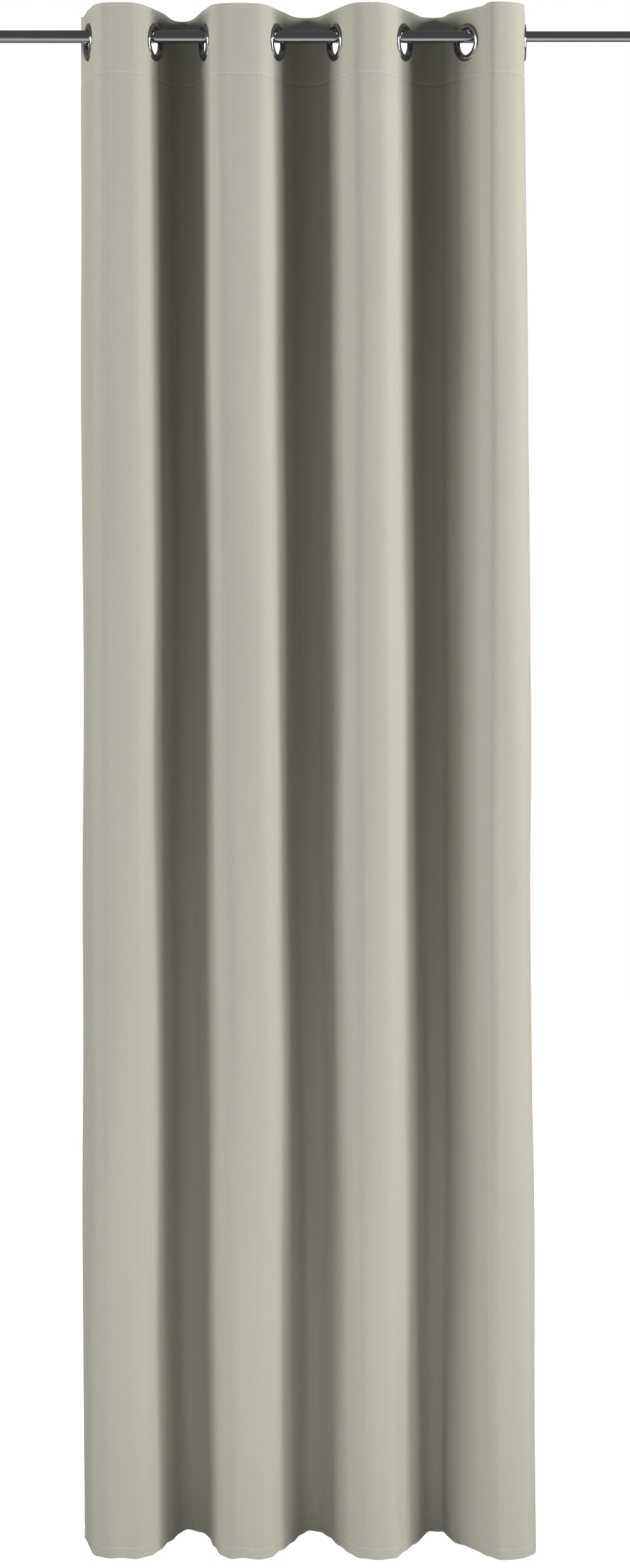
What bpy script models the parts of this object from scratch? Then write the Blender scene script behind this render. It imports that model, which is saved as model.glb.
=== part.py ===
"""An eyelet curtain hung on a telescopic metal rod between two wall brackets.

Frame: the origin lies on the wall, midway between the brackets, at the height of the rod's axis.
+X runs to the right along the rod, +Y goes into the wall and +Z is up. The room is at -Y.

The cloth is one panel. Seen from above it is a row of folds: a straight stretch through each eyelet,
crossing the rod, and a round crown between two eyelets, in front of the rod and behind it by turns.
Each straight stretch is a strip and each crown is a fold, so that the curtain can gather.
"""
import math

import bmesh
import bpy
from mathutils import Matrix, Vector

MM = 0.001

# rod
ROD_PROJECTION = 110 * MM       # from the wall to the rod's axis
ROD_HALF_LENGTH = 600 * MM      # from the middle to each tube end
OUTER_TUBE_RADIUS = 10 * MM
INNER_TUBE_RADIUS = 8.5 * MM
SLIDING_GAP = 0.3 * MM          # between the two tubes, all round
INNER_TUBE_WALL = 1.2 * MM
TUBE_JOINT_X = 290 * MM         # mouth of the outer tube
TUBE_OVERLAP = 240 * MM         # of the inner tube inside the outer one
CAP_OVERHANG = 2 * MM           # how far each cap stands out past the thicker tube
CAP_LENGTH = 30 * MM
CAP_SPIGOT_LENGTH = 15 * MM

# brackets
BRACKET_INSET = 40 * MM         # from each tube end to its bracket
PLATE_THICKNESS = 5 * MM
PLATE_RIM = 3.8 * MM            # metal outside the wall screws' heads
ARM_RADIUS = 6 * MM
BOSS_WALL = 4 * MM              # metal round the arm's socket
BOSS_LENGTH = 12 * MM
SOCKET_FLOOR = 3 * MM           # metal left between the arm's socket and the wall
CRADLE_WALL = 3.7 * MM
CRADLE_WIDTH = 14 * MM
CRADLE_LIP_Z = 8 * MM           # top of the cradle's open jaws above the rod's axis
WALL_SCREW_TO_BOSS = 2.8 * MM   # room for the screwdriver between a screw's head and the boss
WALL_SCREW_RADIUS = 2 * MM
WALL_SCREW_LENGTH = 30 * MM
WALL_SCREW_HEAD_RADIUS = 4.2 * MM
WALL_SCREW_HEAD_DEPTH = 2.4 * MM
GRUB_SCREW_RADIUS = 2 * MM
CLAMP_SCREW_RADIUS = 2.5 * MM
CLAMP_BOSS_WALL = 2.5 * MM
CLAMP_BOSS_LENGTH = 4 * MM
CLAMP_HEAD_RADIUS = 7 * MM
CLAMP_HEAD_LENGTH = 7 * MM
CLAMP_FLUTE_DEPTH = 0.7 * MM
SCREW_RECESS_DEPTH = 1.2 * MM
SCREW_RECESS_ARM = 1.8 * MM     # from the middle of a cross recess to the end of each arm
SCREW_RECESS_HALF_WIDTH = 0.45 * MM

# eyelets
EYELET_X = [x * MM for x in (-360.4, -255.5, -175.5, -60.2, 32.5, 142.0, 241.5, 332.0)]
EYELET_TILT_DEG = (15.0, 20.0, 15.5, 21.5, 22.0, 25.0, 37.0, 2.0)
EYELET_PLAY = 10 * MM           # how much larger the hole's radius is than the thicker tube's
EYELET_FLANGE = 10.5 * MM       # width of each ring's face
EYELET_BARREL_WALL = 1 * MM
EYELET_CREST = 2.9 * MM         # height of each ring's rounded face above the cloth
EYELET_SHOULDER = 0.55          # height of the ring's outer edge, as a share of its crest
EYELET_LIFT = 0.08              # room above the rod in each hole, as a share of the tube's radius

# cloth
CLOTH_THICKNESS = 2 * MM        # outer cloth, lining and air between them
CLOTH_HEIGHT = 2450 * MM
HEADING_DEPTH = 110 * MM
HEADING_ABOVE_EYELET = 52.2 * MM
EYELET_SPACING = 187 * MM       # of cloth from one eyelet's centre to the next, laid flat
SIDE_MARGIN = 45 * MM           # of cloth outside the first and the last eyelet
MARGIN_CURL_DEG = 20.0          # how far the left margin turns outwards past its eyelet, at the top
HEM_SHIFT = [x * MM for x in (0, 13, 15, 16, 8, 12, 0, 18)]
FLAT_PAST_EYELET = 1.5 * MM     # the cloth lies flat this far past each eyelet's rim
FOLD_SHOULDER = 25 * MM         # handle of the curve where it leaves the flat
CROWN_FULLNESS = 0.5            # handle of the curve at the crown, as a share of half the pitch
SEAM_AT = 0.35                  # where a strip ends and a fold begins, along the curve to the crown

SEAT_GAP = 0.3 * MM             # between pieces that touch
ROUND_STEPS = 24
TUBE_STEPS = 40

ROD_Y = -ROD_PROJECTION
BRACKET_X = ROD_HALF_LENGTH - BRACKET_INSET
CAP_RADIUS = OUTER_TUBE_RADIUS + CAP_OVERHANG
BOSS_RADIUS = ARM_RADIUS + BOSS_WALL
WALL_SCREW_OFFSET = BOSS_RADIUS + WALL_SCREW_TO_BOSS + WALL_SCREW_HEAD_RADIUS
PLATE_RADIUS = WALL_SCREW_OFFSET + WALL_SCREW_HEAD_RADIUS + PLATE_RIM
CLAMP_BOSS_RADIUS = CLAMP_SCREW_RADIUS + CLAMP_BOSS_WALL
OUTER_TUBE_BORE = INNER_TUBE_RADIUS + SLIDING_GAP
INNER_TUBE_BORE = INNER_TUBE_RADIUS - INNER_TUBE_WALL
EYELET_HOLE_RADIUS = OUTER_TUBE_RADIUS + EYELET_PLAY
EYELET_RADIUS = EYELET_HOLE_RADIUS + EYELET_FLANGE
STRAIGHT_HALF = EYELET_RADIUS + FLAT_PAST_EYELET
# a ring that hangs askew comes nearer to the rod beside its top, the more so the thicker the rod
EYELET_CLEARANCE = EYELET_LIFT * OUTER_TUBE_RADIUS
EYELET_Z = OUTER_TUBE_RADIUS + EYELET_CLEARANCE - EYELET_HOLE_RADIUS
CLOTH_TOP = EYELET_Z + HEADING_ABOVE_EYELET
HEADING_BOTTOM = CLOTH_TOP - HEADING_DEPTH
CLOTH_BOTTOM = CLOTH_TOP - CLOTH_HEIGHT
EYELET_COUNT = len(EYELET_X)

TO_ROOM = (math.pi / 2, 0, 0)   # turns a piece made along +Z to point at the room, -Y
TO_RIGHT = (0, math.pi / 2, 0)
TO_LEFT = (0, -math.pi / 2, 0)
TO_FLOOR = (math.pi, 0, 0)


# ---------------------------------------------------------------- scene, materials and basic solids

def clear_scene():
    for obj in list(bpy.data.objects):
        bpy.data.objects.remove(obj, do_unlink=True)


def metal(name, colour, roughness):
    return principled(name, colour, roughness, 1.0)


def principled(name, colour, roughness, metallic):
    material = bpy.data.materials.new(name)
    material.use_nodes = True
    shader = material.node_tree.nodes["Principled BSDF"]
    shader.inputs["Base Color"].default_value = (*colour, 1.0)
    shader.inputs["Roughness"].default_value = roughness
    shader.inputs["Metallic"].default_value = metallic
    return material


def add_object(name, bm, material, location=(0, 0, 0), rotation=(0, 0, 0)):
    """Closes a bmesh into an object whose faces point outwards."""
    bmesh.ops.recalc_face_normals(bm, faces=bm.faces[:])
    mesh = bpy.data.meshes.new(name)
    bm.to_mesh(mesh)
    bm.free()
    mesh.shade_smooth()
    mesh.set_sharp_from_angle(angle=math.radians(32))
    if material:
        mesh.materials.append(material)
    obj = bpy.data.objects.new(name, mesh)
    obj.location = location
    obj.rotation_euler = rotation
    bpy.context.scene.collection.objects.link(obj)
    return obj


def bridge_sections(bm, sections, closed):
    """Skins a list of rings of vertices; a ring of one vertex is a pole. A closed list ends at its start."""
    pairs = list(zip(sections, sections[1:]))
    if closed:
        pairs.append((sections[-1], sections[0]))
    for low, high in pairs:
        steps = max(len(low), len(high))
        for i in range(steps):
            j = (i + 1) % steps
            corners = [low[i % len(low)], low[j % len(low)], high[j % len(high)], high[i % len(high)]]
            bm.faces.new(list(dict.fromkeys(corners)))


def turned(name, profile, material, location, rotation, steps=ROUND_STEPS):
    """A lathed solid. The profile is (radius, height) points round the local Z axis."""
    bm = bmesh.new()
    sections = []
    for radius, height in profile:
        angles = [0.0] if radius == 0 else [2 * math.pi * i / steps for i in range(steps)]
        sections.append([bm.verts.new((radius * math.cos(a), radius * math.sin(a), height)) for a in angles])
    bridge_sections(bm, sections, closed=profile[0][0] != 0)
    return add_object(name, bm, material, location, rotation)


def prism(name, outline, low, high, material, location, rotation):
    """An outline in the local XY plane, extruded from low to high along the local Z axis."""
    bm = bmesh.new()
    sections = [[bm.verts.new((x, y, z)) for x, y in outline] for z in (low, high)]
    bridge_sections(bm, sections, closed=False)
    bm.faces.new(sections[0])
    bm.faces.new(sections[1])
    return add_object(name, bm, material, location, rotation)


def combine(obj, tool, operation):
    """Joins a guide solid to an object or cuts it away. The guide stays as a hidden wire."""
    tool.hide_render = True
    tool.display_type = "WIRE"
    modifier = obj.modifiers.new(tool.name, "BOOLEAN")
    modifier.operation = operation
    modifier.object = tool
    modifier.solver = "EXACT"


def rod_profile(radius, low, high):
    return [(0, low), (radius, low), (radius, high), (0, high)]


def regular_outline(radius, corners):
    return [
        (radius * math.cos(2 * math.pi * i / corners), radius * math.sin(2 * math.pi * i / corners))
        for i in range(corners)
    ]


# ---------------------------------------------------------------- rod

def tube(name, outer, bore, left, right, material):
    profile = [(outer, left), (outer, right), (bore, right), (bore, left)]
    return turned(name, profile, material, (0, ROD_Y, 0), TO_RIGHT, TUBE_STEPS)


def end_cap(name, bore, x, rotation, material):
    """A turned cap with a spigot that plugs the tube and one decorative groove."""
    spigot = bore - SEAT_GAP
    rim = 1.5 * MM
    groove = 0.8 * MM
    groove_at = 5 * MM
    profile = [
        (0, -CAP_SPIGOT_LENGTH),
        (spigot, -CAP_SPIGOT_LENGTH),
        (spigot, SEAT_GAP),
        (CAP_RADIUS, SEAT_GAP),
        (CAP_RADIUS, groove_at),
        (CAP_RADIUS - groove, groove_at + groove),
        (CAP_RADIUS, groove_at + 2 * groove),
        (CAP_RADIUS, CAP_LENGTH - 2 * rim),
        (CAP_RADIUS - rim, CAP_LENGTH - rim / 2),
        (CAP_RADIUS - 3 * rim, CAP_LENGTH),
        (0, CAP_LENGTH),
    ]
    return turned(name, profile, material, (x, ROD_Y, 0), rotation)


def build_rod(steel):
    tube("rod_outer_tube", OUTER_TUBE_RADIUS, OUTER_TUBE_BORE, -ROD_HALF_LENGTH, TUBE_JOINT_X, steel)
    tube("rod_inner_tube", INNER_TUBE_RADIUS, INNER_TUBE_BORE,
         TUBE_JOINT_X - TUBE_OVERLAP, ROD_HALF_LENGTH, steel)
    end_cap("left_end_cap", OUTER_TUBE_BORE, -ROD_HALF_LENGTH, TO_LEFT, steel)
    end_cap("right_end_cap", INNER_TUBE_BORE, ROD_HALF_LENGTH, TO_RIGHT, steel)


# ---------------------------------------------------------------- brackets

def screw_recess(name, centre, rotation, depth_from, depth_to, arm, half_width):
    """A cross-shaped drive recess."""
    a, w = arm, half_width
    outline = [(w, a), (w, w), (a, w), (a, -w), (w, -w), (w, -a),
               (-w, -a), (-w, -w), (-a, -w), (-a, w), (-w, w), (-w, a)]
    return prism(name, outline, depth_from, depth_to, None, centre, rotation)


def wall_screw(name, x, z, material):
    """A countersunk wood screw, flush with the plate, that goes on into the wall."""
    head_top = PLATE_THICKNESS
    head_base = head_top - WALL_SCREW_HEAD_DEPTH
    tip = head_top - WALL_SCREW_LENGTH
    point = 3 * WALL_SCREW_RADIUS
    profile = [
        (0, tip),
        (WALL_SCREW_RADIUS, tip + point),
        (WALL_SCREW_RADIUS, head_base),
        (WALL_SCREW_HEAD_RADIUS, head_top),
        (0, head_top),
    ]
    screw = turned(name, profile, material, (x, 0, z), TO_ROOM)
    recess = screw_recess(name + "_recess", (x, 0, z), TO_ROOM, head_top - SCREW_RECESS_DEPTH,
                          head_top + MM, SCREW_RECESS_ARM, SCREW_RECESS_HALF_WIDTH)
    combine(screw, recess, "DIFFERENCE")
    return screw


def screw_hole(name, x, z):
    """The countersunk hole that the wall screw sits in, a seat gap larger all round."""
    top = PLATE_THICKNESS
    base = top - WALL_SCREW_HEAD_DEPTH
    flare = (WALL_SCREW_HEAD_RADIUS - WALL_SCREW_RADIUS) * MM / WALL_SCREW_HEAD_DEPTH
    profile = [
        (0, -MM),
        (WALL_SCREW_RADIUS + SEAT_GAP, -MM),
        (WALL_SCREW_RADIUS + SEAT_GAP, base),
        (WALL_SCREW_HEAD_RADIUS + SEAT_GAP, top),
        (WALL_SCREW_HEAD_RADIUS + SEAT_GAP + flare, top + MM),
        (0, top + MM),
    ]
    return turned(name, profile, None, (x, 0, z), TO_ROOM)


def wall_plate(name, x, material):
    """A round plate with a boss, whose blind socket takes the arm."""
    edge = 1.2 * MM
    top = PLATE_THICKNESS + BOSS_LENGTH
    socket = ARM_RADIUS + SEAT_GAP
    profile = [
        (0, 0),
        (PLATE_RADIUS, 0),
        (PLATE_RADIUS, PLATE_THICKNESS - edge),
        (PLATE_RADIUS - edge, PLATE_THICKNESS),
        (BOSS_RADIUS, PLATE_THICKNESS),
        (BOSS_RADIUS, top - edge / 2),
        (BOSS_RADIUS - edge / 2, top),
        (socket, top),
        (socket, SOCKET_FLOOR),
        (0, SOCKET_FLOOR),
    ]
    plate = turned(name, profile, material, (x, 0, 0), TO_ROOM, 2 * ROUND_STEPS)
    for place, side in (("upper", 1), ("lower", -1)):
        hole = screw_hole(name + "_" + place + "_hole", x, side * WALL_SCREW_OFFSET)
        combine(plate, hole, "DIFFERENCE")
    grub_hole = turned(name + "_grub_hole",
                       rod_profile(GRUB_SCREW_RADIUS + SEAT_GAP, ARM_RADIUS - MM, BOSS_RADIUS + MM),
                       None, (x, -grub_screw_reach(), 0), TO_FLOOR)
    combine(plate, grub_hole, "DIFFERENCE")
    return plate


def grub_screw_reach():
    """How far from the wall the grub screw sits: halfway along the boss."""
    return PLATE_THICKNESS + BOSS_LENGTH / 2


def grub_screw(name, x, material):
    """A headless screw under the boss that locks the arm in its socket."""
    inner = ARM_RADIUS + SEAT_GAP
    profile = rod_profile(GRUB_SCREW_RADIUS, inner, BOSS_RADIUS - SEAT_GAP)
    place = (x, -grub_screw_reach(), 0)
    screw = turned(name, profile, material, place, TO_FLOOR)
    socket = prism(name + "_socket", regular_outline(GRUB_SCREW_RADIUS / 2, 6),
                   BOSS_RADIUS - SEAT_GAP - SCREW_RECESS_DEPTH, BOSS_RADIUS + MM, None, place, TO_FLOOR)
    combine(screw, socket, "DIFFERENCE")
    return screw


def cradle_outline(radius, top, steps):
    """A U seen along the rod: a half circle below the axis and straight sides up to the top."""
    arc = [math.pi + math.pi * i / steps for i in range(steps + 1)]
    return [(-radius, top)] + [(radius * math.cos(a), radius * math.sin(a)) for a in arc] + [(radius, top)]


def bracket_arm(name, x, tube_radius, material):
    """A round bar that ends in an open cradle under the tube, with a boss for the clamp screw."""
    inner = tube_radius + SEAT_GAP
    outer = inner + CRADLE_WALL
    half = CRADLE_WIDTH / 2
    bar_start = SOCKET_FLOOR + SEAT_GAP
    bar_end = ROD_PROJECTION - inner
    arm = turned(name, rod_profile(ARM_RADIUS, bar_start, bar_end), material, (x, 0, 0), TO_ROOM)
    # the outline's X runs to the wall and its Y runs up, and the prism runs along the rod
    along_rod = (math.pi / 2, 0, math.pi / 2)
    centre = (x, ROD_Y, 0)
    cradle = prism(name + "_cradle", cradle_outline(outer, CRADLE_LIP_Z, 16), -half, half,
                   None, centre, along_rod)
    channel = prism(name + "_channel", cradle_outline(inner, 4 * CRADLE_LIP_Z, 16), -2 * half, 2 * half,
                    None, centre, along_rod)
    boss = turned(name + "_boss", rod_profile(CLAMP_BOSS_RADIUS, inner, outer + CLAMP_BOSS_LENGTH),
                  None, centre, TO_FLOOR)
    hole = turned(name + "_clamp_hole",
                  rod_profile(CLAMP_SCREW_RADIUS + SEAT_GAP, 0, outer + 2 * CLAMP_BOSS_LENGTH),
                  None, centre, TO_FLOOR)
    combine(arm, cradle, "UNION")
    combine(arm, boss, "UNION")
    combine(arm, channel, "DIFFERENCE")
    combine(arm, hole, "DIFFERENCE")
    return arm


def clamp_screw(name, x, tube_radius, material):
    """A thumb screw with a fluted head that locks the tube in its cradle from below."""
    tip = tube_radius + SEAT_GAP
    head = tip + CRADLE_WALL + CLAMP_BOSS_LENGTH + 2 * SEAT_GAP
    crown = head + CLAMP_HEAD_LENGTH
    bm = bmesh.new()
    sections = []
    for radius, flute, height in ((CLAMP_SCREW_RADIUS, 0, tip), (CLAMP_SCREW_RADIUS, 0, head),
                                  (CLAMP_HEAD_RADIUS, CLAMP_FLUTE_DEPTH, head),
                                  (CLAMP_HEAD_RADIUS, CLAMP_FLUTE_DEPTH, crown)):
        ring = []
        for i in range(ROUND_STEPS):
            angle = 2 * math.pi * i / ROUND_STEPS
            reach = radius - flute * (i % 2)
            ring.append(bm.verts.new((reach * math.cos(angle), reach * math.sin(angle), height)))
        sections.append(ring)
    bridge_sections(bm, sections, closed=False)
    bm.faces.new(sections[0])
    bm.faces.new(sections[-1])
    return add_object(name, bm, material, (x, ROD_Y, 0), TO_FLOOR)


def build_brackets(steel, screw_steel):
    for side, x, tube_radius in (("left", -BRACKET_X, OUTER_TUBE_RADIUS),
                                 ("right", BRACKET_X, INNER_TUBE_RADIUS)):
        wall_plate(side + "_wall_plate", x, steel)
        bracket_arm(side + "_bracket_arm", x, tube_radius, steel)
        grub_screw(side + "_grub_screw", x, screw_steel)
        clamp_screw(side + "_clamp_screw", x, tube_radius, steel)
        wall_screw(side + "_wall_screw_upper", x, WALL_SCREW_OFFSET, screw_steel)
        wall_screw(side + "_wall_screw_lower", x, -WALL_SCREW_OFFSET, screw_steel)


# ---------------------------------------------------------------- the cloth's plan, seen from above

def fold_side(k):
    """-1 where the fold after eyelet k lies in front of the rod, +1 where it lies behind."""
    return -1 if k % 2 == 0 else 1


def cloth_direction(k):
    """The way the cloth runs through eyelet k, from left to right."""
    tilt = math.radians(EYELET_TILT_DEG[k])
    return Vector((math.sin(tilt), fold_side(k) * math.cos(tilt)))


def eyelet_centre(k, at_hem):
    return Vector((EYELET_X[k] + (HEM_SHIFT[k] if at_hem else 0.0), ROD_Y))


def bezier(p0, p1, p2, p3, s):
    r = 1 - s
    return r * r * r * p0 + 3 * r * r * s * p1 + 3 * r * s * s * p2 + s * s * s * p3


def half_fold(k, leaving, depth, at_hem):
    """Control points of the curve from the flat at one eyelet to the crown after eyelet k."""
    near = k if leaving else k + 1
    way = 1 if leaving else -1
    first, second = eyelet_centre(k, at_hem), eyelet_centre(k + 1, at_hem)
    crown = (first + second) / 2 + Vector((0, fold_side(k) * depth))
    handle = Vector((way * CROWN_FULLNESS * (second.x - first.x) / 2, 0))
    direction = way * cloth_direction(near)
    start = eyelet_centre(near, at_hem) + STRAIGHT_HALF * direction
    return start, start + FOLD_SHOULDER * direction, crown - handle, crown


def span_length(k, depth, at_hem):
    """The length of cloth from eyelet k to the next one for a fold of this depth."""
    total = 2 * STRAIGHT_HALF
    steps = 40
    for leaving in (True, False):
        curve = half_fold(k, leaving, depth, at_hem)
        points = [bezier(*curve, i / steps) for i in range(steps + 1)]
        total += sum((b - a).length for a, b in zip(points, points[1:]))
    return total


def fold_depth(k, at_hem):
    """How far the crown stands off the rod: each span holds the same length of cloth, found by halving."""
    shallow, deep = 0.3 * EYELET_SPACING, 0.6 * EYELET_SPACING
    for _ in range(30):
        middle = (shallow + deep) / 2
        if span_length(k, middle, at_hem) < EYELET_SPACING:
            shallow = middle
        else:
            deep = middle
    return middle


def bezier_tangent(p0, p1, p2, p3, s):
    r = 1 - s
    return (r * r * (p1 - p0) + 2 * r * s * (p2 - p1) + s * s * (p3 - p2)).normalized()


def margin_half(k, at_hem):
    """The free margin outside the first or the last eyelet, from the flat out to the cloth's edge."""
    way = -1 if k == 0 else 1
    direction = way * cloth_direction(k)
    turn = 0.0 if at_hem or k > 0 else math.radians(MARGIN_CURL_DEG)
    curl = Matrix.Rotation(turn, 2) @ direction
    start = eyelet_centre(k, at_hem) + STRAIGHT_HALF * direction
    return [start, start + (SIDE_MARGIN - STRAIGHT_HALF) * curl], curl


def seam_half(k, leaving, at_hem):
    """The curve from the flat at an eyelet out to the seam with the fold after eyelet k."""
    curve = half_fold(k, leaving, fold_depth(k, at_hem), at_hem)
    return [bezier(*curve, share * SEAM_AT) for share in (0.0, 0.5, 1.0)], bezier_tangent(*curve, SEAM_AT)


def strip_plan(k, at_hem):
    """The cloth's middle line through eyelet k, left to right, and its directions at both ends."""
    before, out_left = margin_half(k, at_hem) if k == 0 else seam_half(k - 1, False, at_hem)
    last = k == EYELET_COUNT - 1
    after, out_right = margin_half(k, at_hem) if last else seam_half(k, True, at_hem)
    return before[::-1] + after, -out_left, out_right


def fold_plan(k, at_hem):
    """The cloth's middle line over the crown after eyelet k, left to right, and its end directions."""
    steps = 4
    shares = [SEAM_AT + (1 - SEAM_AT) * i / steps for i in range(steps + 1)]
    depth = fold_depth(k, at_hem)
    left, right = half_fold(k, True, depth, at_hem), half_fold(k, False, depth, at_hem)
    rise = [bezier(*left, s) for s in shares]
    fall = [bezier(*right, s) for s in shares[:-1]]
    return rise + fall[::-1], bezier_tangent(*left, SEAM_AT), -bezier_tangent(*right, SEAM_AT)


def thick_line(line, first_way, last_way):
    """Both faces of the cloth round its middle line, with half a seat gap taken off each end."""
    line = [line[0] + SEAT_GAP / 2 * first_way] + line[1:-1] + [line[-1] - SEAT_GAP / 2 * last_way]
    room, wall = [], []
    for i, point in enumerate(line):
        if i == 0:
            before = after = first_way
        elif i == len(line) - 1:
            before = after = last_way
        else:
            before = (point - line[i - 1]).normalized()
            after = (line[i + 1] - point).normalized()
        along = (before + after).normalized()
        across = Vector((along.y, -along.x)) * (CLOTH_THICKNESS / 2 / along.dot(after))
        room.append(point + across)
        wall.append(point - across)
    return room + wall[::-1]


# ---------------------------------------------------------------- cloth and eyelets

def hanging_cloth(name, plan, centre, material):
    """A closed sheet of cloth: its plan at the top and at the heading's foot, and its plan at the hem."""
    levels = ((CLOTH_TOP, False), (HEADING_BOTTOM, False), (CLOTH_BOTTOM, True))
    bm = bmesh.new()
    sections = []
    for z, at_hem in levels:
        outline = thick_line(*plan(at_hem))
        sections.append([bm.verts.new((p.x - centre.x, p.y - centre.y, z)) for p in outline])
    bridge_sections(bm, sections, closed=False)
    for section in (sections[0], sections[-1]):
        half = len(section) // 2
        for i in range(half - 1):
            bm.faces.new((section[i], section[i + 1], section[-i - 2], section[-i - 1]))
    return add_object(name, bm, material, (centre.x, centre.y, 0))


def eyelet_rings(k, material):
    """The front ring carries the barrel through the cloth, and the back ring is pressed over it."""
    face = CLOTH_THICKNESS / 2 + SEAT_GAP
    crest = face + EYELET_CREST
    hole, rim = EYELET_HOLE_RADIUS, EYELET_RADIUS
    barrel = hole + EYELET_BARREL_WALL
    collar = barrel + SEAT_GAP
    middle = (barrel + rim) / 2
    shoulder = face + EYELET_SHOULDER * EYELET_CREST
    lip = 0.9 * MM
    front = [
        (rim, face), (rim - lip, shoulder), (middle, crest), (barrel + SEAT_GAP, crest - lip / 2),
        (hole, face + lip), (hole, -crest + lip), (barrel, -crest + lip), (barrel, face),
    ]
    back = [(collar, -face), (rim, -face), (rim - lip, -shoulder), (middle, -crest), (collar, -crest + lip / 2)]
    way = cloth_direction(k)
    place = (EYELET_X[k], ROD_Y, EYELET_Z)
    turn = (math.pi / 2, 0, math.atan2(way.y, way.x))
    turned(f"eyelet_{k + 1}_front_ring", front, material, place, turn)
    turned(f"eyelet_{k + 1}_back_ring", back, material, place, turn)
    return turned(f"eyelet_{k + 1}_cloth_hole", rod_profile(collar, -2 * crest, 2 * crest), None, place, turn)


def build_curtain(cloth, steel):
    for k in range(EYELET_COUNT):
        centre = eyelet_centre(k, False)
        strip = hanging_cloth(f"curtain_strip_{k + 1}", lambda hem, k=k: strip_plan(k, hem), centre, cloth)
        combine(strip, eyelet_rings(k, steel), "DIFFERENCE")
    for k in range(EYELET_COUNT - 1):
        centre = (eyelet_centre(k, False) + eyelet_centre(k + 1, False)) / 2
        hanging_cloth(f"curtain_fold_{k + 1}", lambda hem, k=k: fold_plan(k, hem), centre, cloth)


def main():
    clear_scene()
    rod_steel = metal("rod_steel", (0.24, 0.24, 0.25), 0.28)
    eyelet_steel = metal("eyelet_steel", (0.30, 0.30, 0.32), 0.15)
    screw_steel = metal("screw_steel", (0.50, 0.50, 0.52), 0.30)
    cloth = principled("woven_cloth", (0.50, 0.48, 0.41), 0.90, 0.0)
    build_rod(rod_steel)
    build_brackets(rod_steel, screw_steel)
    build_curtain(cloth, eyelet_steel)


main()
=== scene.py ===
# %% [markdown]
# # An eyelet curtain on a telescopic rod
#
# A panel of plain woven cloth hangs in deep folds from a round metal rod. The rod runs through eight
# metal eyelets, so the cloth weaves in front of the rod and behind it by turns. This script dresses
# the model of that curtain: it keeps every place and size, and adds the cloth, the stitching, the
# rounded metal and the finishes.
#
# We start by loading the model. Everything else is worked out from it, in metres, with the wall at
# y = 0, the room at -y and z up.

# %% Load the model
import math

import bmesh
import bpy
import numpy as np
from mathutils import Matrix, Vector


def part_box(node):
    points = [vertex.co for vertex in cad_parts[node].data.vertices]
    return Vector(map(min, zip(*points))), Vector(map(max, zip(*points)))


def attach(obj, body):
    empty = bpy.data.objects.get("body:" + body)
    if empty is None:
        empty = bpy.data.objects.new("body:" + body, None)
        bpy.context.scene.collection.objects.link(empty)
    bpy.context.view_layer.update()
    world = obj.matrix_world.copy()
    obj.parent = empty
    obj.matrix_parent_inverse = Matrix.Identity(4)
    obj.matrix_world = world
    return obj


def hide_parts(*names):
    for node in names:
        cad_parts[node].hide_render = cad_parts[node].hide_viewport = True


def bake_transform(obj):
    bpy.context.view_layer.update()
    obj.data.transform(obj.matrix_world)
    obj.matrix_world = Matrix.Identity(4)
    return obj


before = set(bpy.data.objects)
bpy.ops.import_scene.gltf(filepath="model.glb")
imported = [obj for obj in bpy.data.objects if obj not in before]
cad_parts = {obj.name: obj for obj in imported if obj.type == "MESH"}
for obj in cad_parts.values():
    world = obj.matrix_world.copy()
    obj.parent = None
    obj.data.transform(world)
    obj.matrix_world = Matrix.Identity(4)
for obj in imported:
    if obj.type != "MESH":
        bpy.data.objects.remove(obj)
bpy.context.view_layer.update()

MM = 0.001

# %% [markdown]
# ## The camera
#
# A curtain is a tall subject, so it is taken from far away with a long lens, and the camera stays
# level, because a tilted camera would make the folds lean together. The camera stands below the rod,
# at the height where front and back folds line up, and the lens is shifted down to take in the hem.
# A lens shift was chosen over a tilt for that reason.

# %% Camera, level and straight in front
CAMERA_DISTANCE = 4.8          # from the rod
CAMERA_BELOW_ROD = 0.8185
VIEW_HEIGHT = 2.5              # what the long side takes in, at the rod
HORIZON_SHARE = 0.1492         # how far the horizon lies above the picture's middle, in picture heights
SENSOR = 36.0

rod_low, rod_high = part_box("rod_outer_tube")
ROD_Y = (rod_low.y + rod_high.y) / 2

camera_data = bpy.data.cameras.new("camera")
camera_data.sensor_width = SENSOR
camera_data.lens = SENSOR * CAMERA_DISTANCE / VIEW_HEIGHT
camera_data.shift_y = -HORIZON_SHARE
camera = bpy.data.objects.new("camera", camera_data)
camera.location = (0.0, ROD_Y - CAMERA_DISTANCE, -CAMERA_BELOW_ROD)
camera.rotation_euler = (math.pi / 2, 0.0, 0.0)
bpy.context.scene.collection.objects.link(camera)
bpy.context.scene.camera = camera
print("lens", round(camera_data.lens, 1), "mm")

# %% [markdown]
# ## Reading the eyelets
#
# Each eyelet holds the cloth flat, in a plane that crosses the rod at its own angle. We read that
# plane back from the model. The ring is a turned shape, so the direction in which its points spread
# least is its axis. The cloth's hole is cut square through the cloth, so the mean of its points is
# the eyelet's centre.

# %% Eyelet centres and directions
EYELETS = 8


def node_points(name):
    """All the points of a node of the model, as rows of x, y, z."""
    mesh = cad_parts[name].data
    flat = np.empty(3 * len(mesh.vertices))
    mesh.vertices.foreach_get("co", flat)
    return flat.reshape(-1, 3)


def distance_from_axis(points, centre, axis):
    """How far points lie from a line: the length of what is left when the part along it is taken off."""
    off = points - centre
    return np.linalg.norm(off - np.outer(off @ axis, axis), axis=1)


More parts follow.
